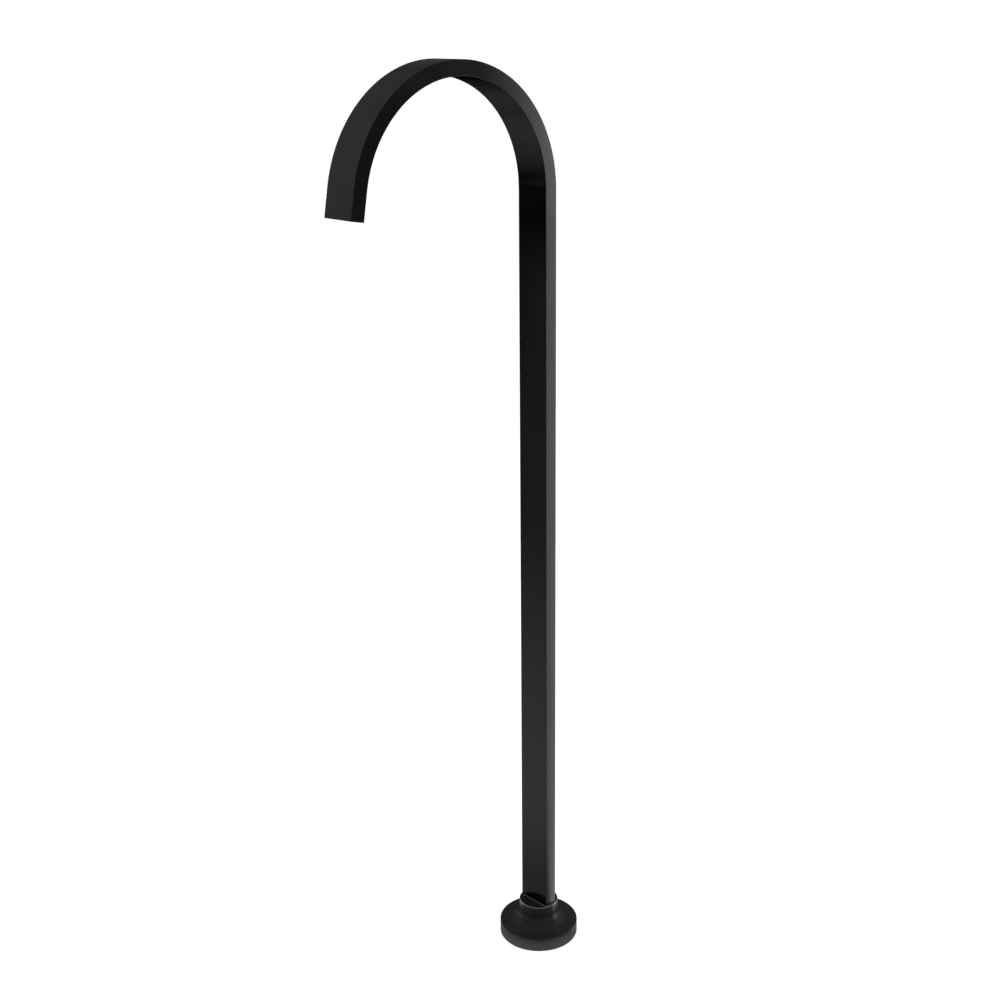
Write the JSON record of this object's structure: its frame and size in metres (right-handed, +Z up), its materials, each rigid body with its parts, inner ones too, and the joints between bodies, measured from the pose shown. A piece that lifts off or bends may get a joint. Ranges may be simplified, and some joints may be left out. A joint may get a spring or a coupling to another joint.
{
  "type": "floor standing bath filler",
  "caption": "Floor standing bath filler: a flat black tube that rises from a round flange, turns over in one large arch and ends in an open spout; swivels on its floor base.",
  "frame": {"origin": "where the column's axis meets the floor, at the centre of the base's floor screws", "axes": "+Z up along the column; the spout reaches towards -Y; the flat tube's width runs along X"},
  "size_m": [0.092, 0.313, 1.024],
  "materials": {
    "tube_coating": "satin black coating on metal",
    "foot_coating": "satin black coating on turned metal",
    "flange_coating": "satin black coating on turned metal",
    "bare_brass": "turned, uncoated",
    "black_rubber": "moulded rubber",
    "bearing_plastic": "machined white acetal",
    "stainless_steel": "plain stainless steel",
    "black_plastic": "moulded, fine grain",
    "grey_plastic": "moulded, fine grain"
  },
  "bodies": {
    "base": {"floor_base": "bare_brass", "base_gasket": "black_rubber", "thrust_washer": "bearing_plastic", "inlet_washer": "black_rubber", "inlet_screen": "stainless_steel", "cover_o_ring": "black_rubber", "grub_screw_1": "stainless_steel", "grub_screw_2": "stainless_steel", "grub_screw_3": "stainless_steel"},
    "spout": {"spout_tube": "tube_coating", "spout_foot": "foot_coating", "lower_o_ring": "black_rubber", "upper_o_ring": "black_rubber", "lower_glide_ring": "bearing_plastic", "upper_glide_ring": "bearing_plastic", "outlet_housing": "black_plastic", "straightener_grid": "grey_plastic", "outlet_screen": "stainless_steel", "outlet_gasket": "black_rubber"},
    "cover": {"cover_flange": "flange_coating", "cover_seal": "black_rubber"}
  },
  "joints": [
    {"name": "spout_swivel", "type": "hinge", "parent": "base", "child": "spout", "pos_m": [0, 0, 0], "axis": [0, 0, 1], "continuous": true},
    {"name": "cover_lift", "type": "slide", "parent": "base", "child": "cover", "axis": [0, 0, 1], "range_m": [0, 0.8]}
  ]
}
